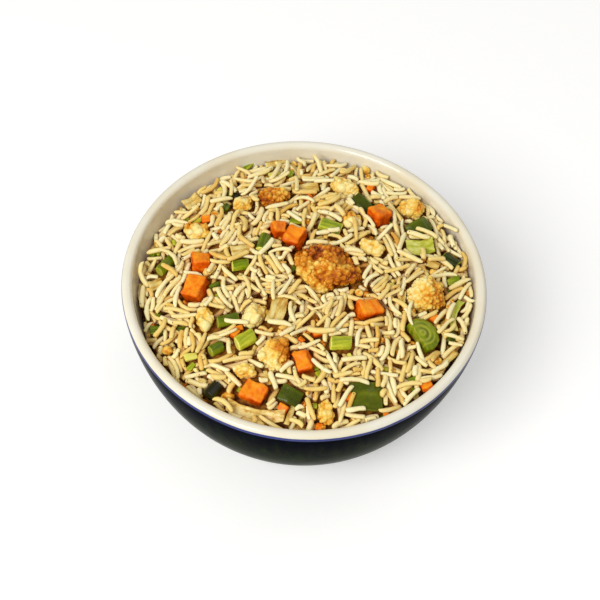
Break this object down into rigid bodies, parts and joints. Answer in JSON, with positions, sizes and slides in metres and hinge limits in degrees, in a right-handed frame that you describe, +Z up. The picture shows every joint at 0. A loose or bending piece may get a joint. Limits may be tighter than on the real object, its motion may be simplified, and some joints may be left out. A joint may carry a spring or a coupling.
{
  "type": "bowl of fried rice",
  "caption": "Round ceramic bowl filled with fried rice, with lumps of egg and pieces of carrot, green pepper, spring onion, bean and cabbage.",
  "frame": {"origin": "middle of the circle that the foot ring stands on", "axes": "+Z up, out of the bowl's mouth; -Y towards the viewer"},
  "size_m": [0.15, 0.15, 0.0771],
  "materials": {
    "bowl_glaze": "cream glaze inside, dark navy glaze outside, gloss",
    "rice": "moist",
    "egg": "moist",
    "carrot": "moist",
    "pepper": "moist",
    "spring_onion": "moist",
    "bean": "moist",
    "cabbage": "moist"
  },
  "bodies": {
    "root": {"bowl": "bowl_glaze", "rice_heap": "rice", "egg_crusty": "egg", "egg_round": "egg", "egg_browned": "egg", "egg_nub": "egg", "egg_flat": "egg", "egg_folded": "egg", "egg_back": "egg", "egg_left": "egg", "egg_pale": "egg", "egg_front": "egg", "egg_wide": "egg", "egg_strip": "egg", "egg_edge": "egg", "egg_speckled": "egg", "carrot_1": "carrot", "carrot_2": "carrot", "carrot_3": "carrot", "carrot_4": "carrot", "carrot_5": "carrot", "carrot_6": "carrot", "carrot_7": "carrot", "carrot_8": "carrot", "pepper_1": "pepper", "pepper_2": "pepper", "pepper_3": "pepper", "pepper_4": "pepper", "spring_onion_1": "spring_onion", "spring_onion_2": "spring_onion", "spring_onion_3": "spring_onion", "spring_onion_4": "spring_onion", "spring_onion_5": "spring_onion", "bean_1": "bean", "bean_2": "bean", "bean_3": "bean", "bean_4": "bean", "bean_5": "bean", "stalk_slice": "bean", "cabbage_1": "cabbage", "cabbage_2": "cabbage", "cabbage_3": "cabbage", "cabbage_4": "cabbage", "cabbage_5": "cabbage", "cabbage_6": "cabbage", "cabbage_7": "cabbage"}
  },
  "joints": []
}
